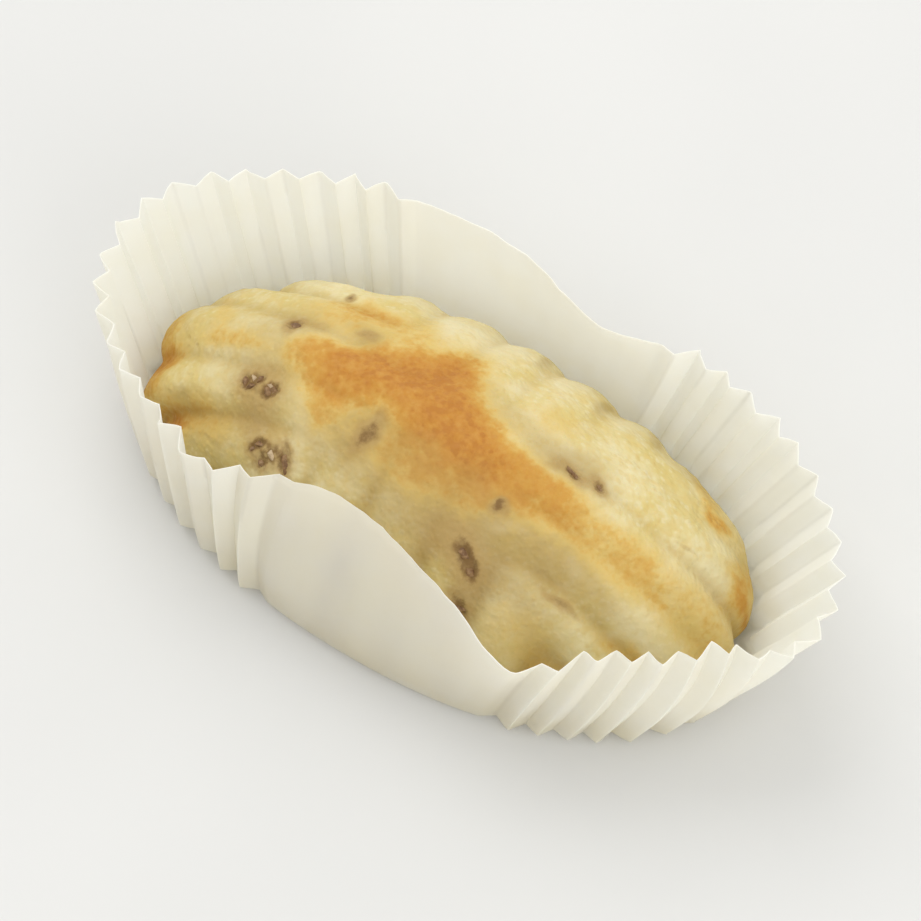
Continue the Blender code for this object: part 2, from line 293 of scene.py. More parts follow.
# Places where the wall is pressed out of its oval, counted in degrees from the
# +X tip: middle, spread, push inwards at the rim, drop of the rim.
PRESSES = (
    (84, 9.5, 3.2, 0.3),
    (242, 6, -1.3, 0.0),
    (264, 15, 4.4, 0.0),
    (293, 8, -3.0, 1.6),
    (308, 12, 1.8, 0.0),
    (332, 15, 3.6, 0.0),
)
CASE_SQUARENESS = 2.15
PLAIN_SIDE = 27.0  # length of each unpleated side, at the rim
PLEATS_TURNED = 3.0  # the pleats sit this far round the rim from the tips
FOLDS_PER_END = 40  # two folds make one pleat
STEPS_PER_FOLD = 6
PLAIN_STEPS = 42
PLEAT_VARIATION = 0.35
PLEAT_AT_FLOOR = 0.5
FOLD_ROUNDNESS = 0.12  # 0 is a knife pleat, 1 a wave
WALL_STEPS = 26
RIM_WAVE = 0.45
RIM_WAVE_SIZE = 10.0
CRINKLE = 0.16
CRINKLE_SIZE = 5.0
ARC_SAMPLES = 1440
FLOOR_FOLD_STEPS = 5
FOLD_SWAY = 0.4  # how far a fold strays along the rim, in folds
FOLD_SWAY_SIZE = 2.6  # in folds
TOOTH_DEPTH = 0.45  # how much single pleats differ in depth at the rim
TOOTH_HEIGHT = 0.3  # and how much they differ in height
CREASE = 0.18  # fine upright creases
CREASE_SIZE = 2.1

# The stage, in metres ----
LOOK_AT = (0, 0, 0.010)
KEY_PLACE = (-0.34, 0.24, 0.54)
KEY_SIZE = 0.5
FILL_PLACE = (0.52, -0.14, 0.36)
FILL_SIZE = 0.6
ROOM_COLOR = (1.0, 0.995, 0.98)
FLOOR_REACH = 3


def tone(red, green, blue):
    """A scene colour from the 0 to 255 values a colour picker shows."""
    shares = (red / 255, green / 255, blue / 255)
    return tuple(s / 12.92 if s <= 0.04045 else ((s + 0.055) / 1.055) ** 2.4 for s in shares)


def waver(x, y, size, seed):
    """Smooth unevenness between about -1 and 1, with features of one size."""
    return noise(Vector((x / size, y / size, seed)))


def smallest(first, second, rounding):
    """The smaller of two numbers, with its corner rounded."""
    reach = max(rounding - abs(first - second), 0.0) / rounding
    return min(first, second) - reach * reach * rounding / 4


def ease(value, low, high):
    """0 up to low, 1 from high, and smooth between."""
    share = min(max((value - low) / (high - low), 0.0), 1.0)
    return share * share * (3 - 2 * share)


def away(x, y, spot):
    """Distance from a turned oval's middle, 1 on its edge."""
    turn = radians(spot[4])
    across = x - spot[0]
    up = y - spot[1]
    along = across * cos(turn) + up * sin(turn)
    beside = up * cos(turn) - across * sin(turn)
    return hypot(along * 2 / spot[2], beside * 2 / spot[3])


def widened(spot, margin):
    """A turned oval made larger all round."""
    return spot[0], spot[1], spot[2] + margin, spot[3] + margin, spot[4]


def nearness(angle, middle, spread):
    """1 where an angle meets a middle in degrees, and fading round it."""
    gap = (degrees(angle) - middle + 180) % 360 - 180
    return exp(-(gap / spread) ** 2)


def open_edges(mesh):
    """The edges at the open end of a mesh."""
    return [edge for edge in mesh.edges if edge.is_boundary]


def grow_rim(mesh, rim):
    """Extrude the open end of a mesh: {new point: the rim's point it grew from}."""
    made = bmesh.ops.extrude_edge_only(mesh, edges=open_edges(mesh))["geom"]
    grown = {}
    for vert in (item for item in made if isinstance(item, bmesh.types.BMVert)):
        ends = (edge.other_vert(vert) for edge in vert.link_edges)
        grown[vert] = next(end for end in ends if end in rim)
    return grown


def close_rim(mesh):
    """Close the open end of a mesh with one face, and turn all faces outwards."""
    bmesh.ops.contextual_create(mesh, geom=open_edges(mesh))
    bmesh.ops.recalc_face_normals(mesh, faces=mesh.faces)


# The cookie ----

def rib_number(x, y):
    """Whole numbers lie on ribs: 0 on the crest and middle ribs, then each L."""
    x = x + RIB_WANDER * SIDE_RIB_PITCH * waver(x, y, WANDER_SIZE, 3.7)
    y = y + RIB_WANDER * CREST_RIB_PITCH * waver(x, y, WANDER_SIZE, 8.1)
    along = abs(x) / SIDE_RIB_PITCH
    spread = abs(y) / (1 + RIB_SPLAY * (abs(x) - SIDE_RIB_PITCH))
    across = spread / CREST_RIB_PITCH * (1 + RIB_CROWDING * (spread - CREST_RIB_PITCH))
    return smallest(along, across, RIB_CORNER)


def groove(x, y):
    """0 on a rib's top and 1 at the bottom of the groove beside it."""
    ridge = cos(pi * rib_number(x, y)) ** 2
    return 1 - sqrt((ridge + GROOVE_SOFTNESS) / (1 + GROOVE_SOFTNESS))


def disc_from_square(across, up):
    """Even map of the square from -1 to 1 onto the unit disc, finer at the rim."""
    x = across * sqrt(1 - up * up / 2)
    y = up * sqrt(1 - across * across / 2)
    wider = 1 + RIM_CROWDING * max(1 - hypot(x, y), 0)
    return x * wider, y * wider


def shape_plan(x, y):
    """Taper and bend the plan of the cookie, which is first made symmetric."""
    share = x / (COOKIE_LENGTH / 2)
    narrow = 1 - TAPER * share
    return x, y * narrow + BEND * (share * share - 0.5)


def crack_depth(x, y):
    """How deep the cracks are at a place, in millimetres."""
    deepest = 0.0
    for start_x, start_y, end_x, end_y, width, depth in CRACKS:
        run = Vector((end_x - start_x, end_y - start_y))
        offset = Vector((x - start_x, y - start_y))
        part = min(max(offset.dot(run) / run.length_squared, 0.0), 1.0)
        wander = CRACK_WANDER * waver(x, y, 0.9, 6.1)
        gap = abs((offset - run * part).length + wander)
        fade = sin(pi * (0.12 + 0.76 * part))
        deepest = max(deepest, depth * fade * (1 - ease(gap, width * 0.2, width)))
    return deepest


def nut_hollow(x, y):
    """How deep the dough has sunk round the bits of nut."""
    deepest = 0.0
    for spot in NUTS:
        if max(abs(x - spot[0]), abs(y - spot[1])) > NUT_HOLLOW:
            continue
        ragged = 0.34 * waver(x, y, 0.75, 2.2) + 0.16 * waver(x, y, 0.35, 7.7)
        gap = away(x, y, widened(spot, 0.25)) + ragged
        deepest = max(deepest, spot[6] * (1 - ease(gap, 0.5, 1.05)))
    return deepest


def relief(x, y, z):
    """Height of the sandy, handled surface above the smooth form."""
    place = Vector((x, y, z))
    rough = sum(high * noise(place / size + Vector(seed)) for high, size, seed in SANDINESS)
    near = voronoi(place / PIT_SPACING + Vector((3, 3, 3)))[0][0]
    pick = noise(place / 4.3 + Vector((7, 5, 2)))
    rough -= PIT_DEPTH * (1 - ease(near, 0.06, 0.2)) * ease(pick, 0.05, 0.3)
    return rough - crack_depth(x, y) - nut_hollow(x, y)


def dome_normal(disc_x, disc_y, radius, fall, rise):
    """Outward direction of the dome without its grooves."""
    slope = rise * DOME_SHARPNESS * DOME_FULLNESS * max(fall, RIM_FALL) ** (DOME_SHARPNESS - 1)
    slope *= radius ** (DOME_FULLNESS - 2)
    tilt = (slope * disc_x / (COOKIE_LENGTH / 2), slope * disc_y / (COOKIE_WIDTH / 2))
    return Vector((tilt[0], tilt[1], 1)).normalized()


def swollen(disc_x, disc_y):
    """(swell, share of the groove left) at the rim, in the direction of a point."""
    swell = 0.0
    left = 1.0
    for middle, spread, outward, missing in SWELLS:
        share = nearness(atan2(disc_y, disc_x), middle, spread)
        swell += outward * share
        left *= 1 - missing * share
    return swell, left


def even_plan(disc_x, disc_y):
    """(x, y) of the cookie's even oval at one point of the unit disc."""
    return COOKIE_LENGTH / 2 * disc_x, COOKIE_WIDTH / 2 * disc_y


def level_out(disc_x, disc_y):
    """Outward direction of the side below one point of the unit disc."""
    return Vector((disc_x / COOKIE_LENGTH, disc_y / COOKIE_WIDTH, 0)).normalized()


def cookie_top(disc_x, disc_y):
    """(point, furrow) of the dome over one point of the unit disc; furrow marks where shade is painted in
    the grooves.
    """
    x, y = even_plan(disc_x, disc_y)
    radius = hypot(disc_x, disc_y)
    fall = max(1 - radius ** DOME_FULLNESS, 0)
    rise = COOKIE_HEIGHT - CREST_RISE - EDGE_HEIGHT
    z = EDGE_HEIGHT + rise * fall ** DOME_SHARPNESS
    z += CREST_RISE * exp(-(y / CREST_SPREAD) ** 2) * (1 - radius ** 4)
    z += UNEVENNESS * waver(x, y, UNEVENNESS_SIZE, 1.3) * (1 - radius ** 6)
    out = dome_normal(disc_x, disc_y, radius, fall, rise)
    swell, left = swollen(disc_x, disc_y)
    depth = GROOVE_AT_CREST + (GROOVE_AT_RIM * left - GROOVE_AT_CREST) * radius ** GROOVE_GROWTH
    furrow = groove(x, y)
    point = Vector((x, y, z)) - out * depth * furrow
    point += level_out(disc_x, disc_y) * swell * radius ** 3
    plan = shape_plan(point.x, point.y)
    point += out * relief(*plan, point.z)
    plan = shape_plan(point.x, point.y)
    return Vector((*plan, point.z)), furrow * (0.35 + 0.65 * radius * left)


def cookie_side(disc_x, disc_y, tuck, z, groove_share):
    """A point of the side, tucked in from the rim by a distance."""
    x, y = even_plan(disc_x, disc_y)
    out = level_out(disc_x, disc_y)
    swell, left = swollen(disc_x, disc_y)
    inward = tuck + groove_share * GROOVE_AT_RIM * left * groove(x, y) - swell
    plan = shape_plan(x - out.x * inward, y - out.y * inward)
    bump = relief(*plan, z)
    return Vector((plan[0] + out.x * bump, plan[1] + out.y * bump, z))


def side_profile():
    """(tuck, z, groove share, plan share) from under the rim to the middle of the base."""
    rows = []
    for step in range(1, SIDE_STEPS + 1):
        z = EDGE_HEIGHT - (EDGE_HEIGHT - EDGE_ROUNDING) * step / SIDE_STEPS
        rows.append((0.0, z, 1.0, 1.0))
    for step in range(1, CORNER_STEPS + 1):
        turn = pi / 2 * step / CORNER_STEPS
        tuck = EDGE_ROUNDING * (1 - cos(turn))
        share = 1 - (1 - GROOVE_AT_BASE) * step / CORNER_STEPS
        rows.append((tuck, EDGE_ROUNDING * (1 - sin(turn)), share, 1.0))
    return rows + [(tuck, 0.0, share, ring) for ring in BASE_RINGS]


def browning(x, y):
    """How far the oven has browned a place, 0 to 1."""
    shift_x = 1.1 * waver(x, y, 3.0, 4.4) + 0.4 * waver(x, y, 1.1, 7.3)
    shift_y = 0.9 * waver(x, y, 3.0, 9.6) + 0.4 * waver(x, y, 1.1, 2.9)
    pale = 1.0
    for spot in BROWNED:
        gap = away(x + shift_x, y + shift_y, spot)
        if gap < 3:
            pale *= 1 - spot[5] / (1 + gap ** 4.5)
    return 1 - pale


def left_clear(x, y, spots):
    """Share of a place that soft ovals leave uncovered."""
    clear = 1.0
    for spot in spots:
        gap = away(x, y, spot)
        if gap < SPOT_REACH:
            clear *= 1 - spot[5] * exp(-1.2 * gap ** 3)
    return clear


def blotched(x, y, spots):
    """How far soft uneven blotches cover a place, 0 to 1."""
    shift = 1.1 * waver(x, y, 3.4, 8.8)
    return 1 - left_clear(x + shift, y - shift, spots)


def staining(x, y):
    """How far a nut under the surface darkens a place, 0 to 1."""
    shift = 0.5 * waver(x, y, 1.4, 5.1)
    clear = left_clear(x + shift, y - shift, STAINED)
    ragged = 0.3 * waver(x, y, 0.5, 3.9)
    for spot in NUTS:
        gap = away(x, y, widened(spot, 0.5)) + ragged
        if gap < SPOT_REACH:
            clear *= 1 - 0.16 * exp(-0.8 * gap * gap) - 0.56 * exp(-(gap ** 4))
    return 1 - clear


def paint_dough(vert, layers, stain_share=1.0):
    """Write into the mesh what lies on the dough at a point, and how much shade is painted there."""
    x, y = vert.co.x, vert.co.y
    vert[layers["browning"]] = browning(x, y)
    vert[layers["stain"]] = staining(x, y) * stain_share
    vert[layers["damp_and_shade"]] = blotched(x, y, DAMP_AND_SHADE)
    vert[layers["paler_patch"]] = blotched(x, y, PALER_PATCHES)


def make_cookie_mesh():
    """Dome grid, its rim extruded down the side, round the edge and under."""
    mesh = bmesh.new()
    names = ("browning", "stain", "damp_and_shade", "paler_patch", "furrow", "toast")
    layers = {name: mesh.verts.layers.float.new(name) for name in names}
    bmesh.ops.create_grid(mesh, x_segments=LENGTH_STEPS, y_segments=WIDTH_STEPS, size=1)
    rim = {}
    for vert in mesh.verts:
        disc = disc_from_square(vert.co.x, vert.co.y)
        if vert.is_boundary:
            rim[vert] = disc
        vert.co, furrow = cookie_top(*disc)
        paint_dough(vert, layers)
        # furrow marks where shade is painted in the grooves, fainter where the table says.
        vert[layers["furrow"]] = furrow * (1 - blotched(vert.co.x, vert.co.y, FAINTER_GROOVE_SHADE))
        vert[layers["toast"]] = RIM_TOAST * ease(hypot(*disc), 0.88, 1.0)

    for count, (tuck, z, groove_share, plan_share) in enumerate(side_profile()):
        toast = RIM_TOAST + (1 - RIM_TOAST) * ease(count, 3, SIDE_STEPS + CORNER_STEPS)
        lower = {}
        for vert, above in grow_rim(mesh, rim).items():
            lower[vert] = rim[above]
            place = cookie_side(*rim[above], tuck, z, groove_share)
            vert.co = (place.x * plan_share, place.y * plan_share, z)
            paint_dough(vert, layers, SIDE_STAIN)
            vert[layers["furrow"]] = above[layers["furrow"]]
            vert[layers["toast"]] = toast
        rim = lower
    close_rim(mesh)
    return mesh


# Bits of nut ----

def add_nut(mesh, paleness, spot, place, normal):
    """One chopped bit of nut, cut to flat sides and set into the dough."""
    x, y, length, width, turned, pale, sunk = spot
    turn = radians(turned)
    thick = NUT_THICKNESS * width
    made = bmesh.ops.create_icosphere(mesh, subdivisions=4, radius=1)["verts"]
    seed = Vector((x, y, 0.5))
    cuts = []
    for cut in range(NUT_CUTS):
        around = 2.4 * cut + 3.0 * noise(seed + Vector((cut, 0, 0)))
        lift = 0.55 + 0.5 * noise(seed + Vector((0, cut, 0)))
        facing = Vector((cos(around), sin(around), lift)).normalized()
        cuts.append((facing, 0.62 + 0.3 * noise(seed + Vector((0, 0, cut)))))
    for vert in made:
        chop = 1.1 + 0.3 * noise(vert.co * 1.3 + seed) + 0.16 * noise(vert.co * 3.6 + seed)
        point = vert.co * chop
        for facing, reach in cuts:
            beyond = max(point.dot(facing) - reach, 0)
            point -= facing * beyond * 0.9
        point *= 1 + 0.05 * noise(point * 8 + seed)
        vert.co = point
        vert[paleness] = pale + 0.25 * noise(point * 2.2 + seed)
    size = Matrix.Diagonal((length / 2, width / 2, thick / 2, 1))
    along = Vector((cos(turn), sin(turn), 0))
    along = (along - normal * along.dot(normal)).normalized()
    beside = normal.cross(along)
    stand = Matrix((along, beside, normal)).transposed().to_4x4()
    crown = 0.5 * thick / 2
    centre = place + normal * (0.45 * sunk - crown)
    bmesh.ops.transform(mesh, matrix=Matrix.Translation(centre) @ stand @ size, verts=made)


def make_nut_mesh(cookie):
    """Every bit of nut, each standing square to the dough round it."""
    dough = BVHTree.FromObject(cookie, bpy.context.evaluated_depsgraph_get())
    middle = cookie["own_middle"]
    mesh = bmesh.new()
    paleness = mesh.verts.layers.float.new("paleness")
    down = Vector((0, 0, -1))
    for spot in NUTS:
        start = Vector(((spot[0] + middle[0]) * METRES, (spot[1] + middle[1]) * METRES, 0.1))
        place, normal, _, _ = dough.ray_cast(start, down)
        if place is None:
            raise RuntimeError(f"no dough under the nut at {spot[0]}, {spot[1]}")
        ring = [dough.ray_cast(start + Vector((dx, dy, 0)) * NUT_FOOTING * METRES, down)
                for dx, dy in ((1, 0), (-1, 0), (0, 1), (0, -1))]
        normal = sum((hit[1] for hit in ring if hit[0] is not None), normal).normalized()
        add_nut(mesh, paleness, spot, place / METRES, normal)
    bmesh.ops.scale(mesh, vec=(METRES, METRES, METRES), verts=mesh.verts)
    bmesh.ops.recalc_face_normals(mesh, faces=mesh.faces)
    return mesh


# The paper case ----

def oval(angle, length, width):
    """A point of a slightly squared oval."""
    power = 2 / CASE_SQUARENESS
    x = copysign(abs(cos(angle)) ** power, cos(angle)) * length / 2
    y = copysign(abs(sin(angle)) ** power, sin(angle)) * width / 2
    return Vector((x, y))


def arc_lengths():
    """Running length round the rim's oval, one entry for each sampled angle."""
    total = 0.0
    lengths = [0.0]
    last = oval(0, CASE_RIM_LENGTH, CASE_RIM_WIDTH)
    for step in range(1, ARC_SAMPLES + 1):
        here = oval(2 * pi * step / ARC_SAMPLES, CASE_RIM_LENGTH, CASE_RIM_WIDTH)
        total += (here - last).length
        lengths.append(total)
        last = here
    return lengths


def angle_at(lengths, distance):
    """The oval's angle at a distance along its rim, counted from the +X tip."""
    distance = distance % lengths[-1]
    step = 0
    while lengths[step + 1] < distance:
        step += 1
    part = (distance - lengths[step]) / (lengths[step + 1] - lengths[step])
    return 2 * pi * (step + part) / ARC_SAMPLES


def fold_shape(part):
    """From 1 to -1 across one fold, between a straight line and a wave."""
    return (1 - FOLD_ROUNDNESS) * (1 - 2 * part) + FOLD_ROUNDNESS * cos(pi * part)


def case_stations():
    """(angle, fold, tooth) round the case: fold is 1 out, -1 in, 0 on a plain side."""
    lengths = arc_lengths()
    whole = lengths[-1]
    pleated = whole / 2 - PLAIN_SIDE
    fold_step = pleated / FOLDS_PER_END
    stations = []
    for tip in (PLEATS_TURNED, whole / 2 + PLEATS_TURNED):
        for fold in range(FOLDS_PER_END):
            side = 1 - fold % 2 * 2
            first = side if fold > 0 else 0
            second = -side if fold < FOLDS_PER_END - 1 else 0
            for step in range(STEPS_PER_FOLD):
                part = step / STEPS_PER_FOLD
                share = (fold_shape(part) + 1) / 2
                stand = first * share + second * (1 - share)
                sway = FOLD_SWAY * fold_step * waver(fold + part, tip, FOLD_SWAY_SIZE, 3.3)
                distance = tip + (fold + part - FOLDS_PER_END / 2) * fold_step + sway
                tooth = waver(fold // 2, tip, 0.71, 6.6)
                stations.append((angle_at(lengths, distance), stand, tooth))
        for step in range(PLAIN_STEPS):
            distance = tip + pleated / 2 + PLAIN_SIDE * step / PLAIN_STEPS
            stations.append((angle_at(lengths, distance), 0, 0))
    return stations


def pressed(angle):
    """(push inwards, drop) of the rim where something has pressed the wall."""
    push = 0.0
    drop = 0.0
    for middle, spread, inward, lower in PRESSES:
        share = nearness(angle, middle, spread)
        push += inward * share
        drop += lower * share
    return push, drop


def case_ring(stations, level, inward, z, pleat_at_rim):
    """Points round the wall at a level, 0 at the floor and 1 at the rim."""
    length = CASE_BASE_LENGTH + (CASE_RIM_LENGTH - CASE_BASE_LENGTH) * level
    width = CASE_BASE_WIDTH + (CASE_RIM_WIDTH - CASE_BASE_WIDTH) * level
    pleat = PLEAT_AT_FLOOR + (pleat_at_rim - PLEAT_AT_FLOOR) * level
    points = []
    for angle, fold, tooth in stations:
        plan = oval(angle, length, width)
        ahead = oval(angle + 0.01, length, width) - oval(angle - 0.01, length, width)
        out = Vector((ahead.y, -ahead.x)).normalized()
        rim_x, rim_y = oval(angle, CASE_RIM_LENGTH, CASE_RIM_WIDTH)
        wave = waver(rim_x, rim_y, RIM_WAVE_SIZE, 5.5)
        lift = waver(rim_x, rim_y, RIM_WAVE_SIZE / 2, 9.2)
        push, drop = pressed(angle)
        body = sin(pi * min(level * 1.06, 1.0))
        crinkle = noise(Vector((rim_x, rim_y, z * 0.6)) / CRINKLE_SIZE)
        upright = Vector((rim_x * 1.4, rim_y * 1.4, z * 0.1 + 20))
        crease = CREASE * noise(upright / CREASE_SIZE)
        stand = fold * pleat * (1 + PLEAT_VARIATION * lift + TOOTH_DEPTH * tooth * level)
        stand += RIM_WAVE * level * wave - inward
        stand += CRINKLE * (0.35 + 0.65 * body) * crinkle * min(level * 4, 1)
        stand += crease * (1 - abs(fold) * 0.6) * min(level * 3, 1)
        plan += out * (stand - push * level ** 3)
        lean = CASE_LEAN * level + CASE_HUG * level ** 1.5 * max(-sin(angle), 0) ** 1.5
        height = z + RIM_WAVE * level * lift - drop * level ** 2 + TOOTH_HEIGHT * tooth * level ** 6
        end_lean = CASE_END_LEAN * (level - 1)
        points.append(Vector((plan.x + end_lean, plan.y + lean, height)))
    return points


def case_profile(paper):
    """(level, inward, z) from the floor's edge up the outside, then down inside."""
    outside = []
    for step in range(FLOOR_FOLD_STEPS):
        turn = pi / 2 * step / FLOOR_FOLD_STEPS
        outside.append((0, PAPER_EDGE * (1 - sin(turn)), PAPER_EDGE * (1 - cos(turn))))
    for step in range(WALL_STEPS + 1):
        level = step / WALL_STEPS
        outside.append((level, 0, PAPER_EDGE + (CASE_HEIGHT - PAPER_EDGE) * level))
    share = (PAPER_EDGE - paper) / PAPER_EDGE
    inside = []
    for level, inward, z in reversed(outside):
        if z < PAPER_EDGE:
            inward = PAPER_EDGE - (PAPER_EDGE - inward) * share
            inside.append((level, inward, PAPER_EDGE - (PAPER_EDGE - z) * share))
        else:
            inside.append((level, paper, z))
    return outside + inside


def make_case_mesh(paper, pleat_at_rim):
    """One loop of points, extruded up the outside, over the rim and down inside."""
    stations = case_stations()
    profile = case_profile(paper)
    mesh = bmesh.new()
    raised = mesh.verts.layers.float.new("level")
    circle = bmesh.ops.create_circle(mesh, segments=len(stations), radius=1)["verts"]
    for vert, point in zip(circle, case_ring(stations, *profile[0], pleat_at_rim)):
        vert.co = point
    bmesh.ops.contextual_create(mesh, geom=list(mesh.edges))
    order = {vert: index for index, vert in enumerate(circle)}
    for profile_point in profile[1:]:
        points = case_ring(stations, *profile_point, pleat_at_rim)
        upper = {}
        for vert, below in grow_rim(mesh, order).items():
            upper[vert] = order[below]
            vert.co = points[order[below]]
            vert[raised] = profile_point[0]
        order = upper
    close_rim(mesh)
    return mesh


# Materials ----

def fill(tree, node, inputs):
    """Link each input of a node to what feeds it, or set its number or colour."""
    for name, value in dict(inputs).items():
        socket = node.inputs[name]
        if isinstance(value, bpy.types.NodeSocket):
            tree.links.new(value, socket)
        elif socket.type == "RGBA":
            socket.default_value = (*value[:3], 1)
        else:
            socket.default_value = value


def add_node(tree, kind, inputs=(), **settings):
    """A node with its settings made and its inputs linked or set."""
    made = tree.nodes.new(kind)
    for name, value in settings.items():
        setattr(made, name, value)
    fill(tree, made, inputs)
    return made


def grain(tree, place, size, detail=2.0, roughness=0.5, offset=0.0):
    """Noise whose features are about one size, in millimetres."""
    moved = add_node(tree, "ShaderNodeMapping", {"Vector": place, "Location": (offset, offset, offset)})
    inputs = {"Vector": moved.outputs[0], "Scale": 1 / (size * METRES), "Detail": detail,
              "Roughness": roughness}
    return add_node(tree, "ShaderNodeTexNoise", inputs).outputs["Fac"]


def crumbs(tree, place, size):
    """(tone, height) of packed crumbs: each has its own tone and a rounded top."""
    inputs = {"Vector": place, "Scale": 1 / (size * METRES), "Smoothness": 1.0}
    cells = add_node(tree, "ShaderNodeTexVoronoi", inputs, feature="SMOOTH_F1")
    split = add_node(tree, "ShaderNodeSeparateColor", {"Color": cells.outputs["Color"]})
    return split.outputs["Red"], stretch(tree, cells.outputs["Distance"], 0.0, 0.7, 1.0, 0.0)


def maths(tree, operation, first, second=0.0, clamp=False):
    """One step of arithmetic."""
    inputs = {0: first, 1: second}
    return add_node(tree, "ShaderNodeMath", inputs, operation=operation, use_clamp=clamp).outputs[0]


def stretch(tree, value, low, high, to_low=0.0, to_high=1.0):
    """Map low..high to another range, and hold it outside."""
    inputs = {"Value": value, "From Min": low, "From Max": high, "To Min": to_low, "To Max": to_high}
    return add_node(tree, "ShaderNodeMapRange", inputs, interpolation_type="SMOOTHSTEP").outputs[0]


def mixed(tree, share, first, second, mode="MIX"):
    """Two colours mixed by a share."""
    inputs = {0: share, 6: first, 7: second}
    return add_node(tree, "ShaderNodeMix", inputs, data_type="RGBA", blend_type=mode).outputs[2]


def coated(tree, color, coats):
    """Lay coats over a colour: (where, low, high, share at low, share at high, coat)."""
    for where, low, high, at_low, at_high, coat in coats:
        color = mixed(tree, stretch(tree, where, low, high, at_low, at_high), color, coat)
    return color


def ramp(tree, share, stops):
    """A colour ramp of (position, colour) stops."""
    made = add_node(tree, "ShaderNodeValToRGB", {"Fac": share})
    elements = made.color_ramp.elements
    for position, _ in stops[1:-1]:
        elements.new(position)
    for element, (position, color) in zip(elements, stops):
        element.position = position
        element.color = (*color[:3], 1)
    return made.outputs["Color"]


def worn(tree, name):
    """A number that the mesh carries at each point."""
    return add_node(tree, "ShaderNodeAttribute", attribute_name=name).outputs["Fac"]


def bumped(tree, layers):
    """Bumps on top of each other: (height, depth in millimetres, strength)."""
    below = {}
    for height, depth, strength in layers:
        inputs = {"Height": height, "Distance": depth * METRES, "Strength": strength, **below}
        below = {"Normal": add_node(tree, "ShaderNodeBump", inputs).outputs[0]}
    return below["Normal"]


def new_material(name):
    """(material, its tree, its shader, its object coordinates)."""
    material = bpy.data.materials.new(name)
    material.use_nodes = True
    tree = material.node_tree
    shader = tree.nodes["Principled BSDF"]
    place = add_node(tree, "ShaderNodeTexCoord").outputs["Object"]
    return material, tree, shader, place


def baked_dough(settings):
    """Pale semolina dough, browned where the mesh says, sandy and matt, with shade painted into its
    grooves and onto its -Y flank.
    """
    material, tree, shader, place = new_material("baked_dough")
    broad = grain(tree, place, 7.0)
    patchy = grain(tree, place, 2.2, 3, 0.6, 0.31)
    sandy = grain(tree, place, 0.7, 3, 0.65, 0.57)
    fine = grain(tree, place, 0.25, 2, 0.6, 0.83)
    crumb, dome = crumbs(tree, place, 0.5)

    pale = mixed(tree, stretch(tree, broad, 0.36, 0.64), settings.butter_dough, settings.pale_dough)
    pale = coated(tree, pale, (
        (patchy, 0.4, 0.7, 0, 0.4, settings.cream_dough),
        (crumb, 0.55, 0.9, 0, 0.35, settings.cream_dough),
        (crumb, 0.1, 0.45, 0.3, 0, settings.gold_crust)))
    # damp_and_shade darkens the dough: partly dough that the filling has darkened, partly painted shade.
    damp_and_shade = worn(tree, "damp_and_shade")
    pale = mixed(tree, damp_and_shade, pale, settings.damp_and_shaded_dough)
    # Paler patches laid over the dough.
    pale = mixed(tree, worn(tree, "paler_patch"), pale, settings.paler_patch_dough)

    brown = maths(tree, "ADD", worn(tree, "browning"), maths(tree, "MULTIPLY", worn(tree, "toast"), 0.26))
    wobble = 0.0
    for pattern, depth in ((patchy, 0.45), (sandy, 0.5), (crumb, 0.28)):
        swing = maths(tree, "MULTIPLY", maths(tree, "SUBTRACT", pattern, 0.5), depth)
        wobble = maths(tree, "ADD", wobble, swing)
    wobble = maths(tree, "MULTIPLY", wobble, maths(tree, "ADD", brown, 0.12))
    brown = maths(tree, "ADD", brown, wobble, clamp=True)
    crust = ramp(tree, brown, (
        (0.3, settings.gold_crust), (0.56, settings.orange_crust),
        (0.86, settings.brown_crust), (1.0, settings.dark_crust)))
    skin = mixed(tree, stretch(tree, brown, 0.02, 0.42), pale, crust)
    # The same mask laid again over the crust: filling stain and painted shade.
    skin = mixed(tree, stretch(tree, damp_and_shade, 0, 1, 0, 0.45), skin, settings.damp_and_shaded_dough)

    # Painted shade in the grooves between ribs, strongest at the groove bottoms.
    painted_groove_shade = stretch(tree, worn(tree, "furrow"), 0.2, 0.95, 0, 0.6)
    skin = mixed(tree, painted_groove_shade, skin, mixed(tree, 1.0, skin, settings.groove_shade_tint, "MULTIPLY"))
    blotted = maths(tree, "MULTIPLY", worn(tree, "stain"), stretch(tree, sandy, 0.25, 0.7, 0.8, 1.1))
    skin = coated(tree, skin, (
        (blotted, 0, 0.5, 0, 0.75, settings.nut_halo),
        (blotted, 0.5, 0.95, 0, 0.9, settings.nut_stain)))
    layers = ((patchy, 0.14, 0.5), (dome, 0.12, 0.5), (sandy, 0.12, 0.45), (fine, 0.03, 0.4))
    fill(tree, shader, {
        "Base Color": skin,
        "Roughness": stretch(tree, sandy, 0.3, 0.7, 0.62, 0.86),
        "Normal": bumped(tree, layers),
        "Specular IOR Level": 0.35,
        "Subsurface Weight": 0.12,
        "Subsurface Radius": (1.0, 0.6, 0.25),
        "Subsurface Scale": 0.0012,
    })
    return material


def chopped_nut(settings):
    """Dark skin and paler flesh, in streaks."""
    material, tree, shader, place = new_material("chopped_nut")
    streak = grain(tree, place, 0.5, 3, 0.6)
    fine = grain(tree, place, 0.16, 2, 0.6, 0.4)
    dark = mixed(tree, stretch(tree, streak, 0.35, 0.65), settings.dark_skin, settings.brown_skin)
    share = maths(tree, "MULTIPLY", worn(tree, "paleness"), stretch(tree, streak, 0.3, 0.6, 0.6, 1.0))
    color = mixed(tree, share, dark, settings.flesh)
    color = mixed(tree, stretch(tree, fine, 0.55, 0.8, 0, 0.3), color, settings.flesh)
    fill(tree, shader, {
        "Base Color": color,
        "Roughness": stretch(tree, fine, 0.3, 0.7, 0.45, 0.7),
        "Normal": bumped(tree, ((streak, 0.08, 0.8),)),
        "Specular IOR Level": 0.4,
    })
    return material


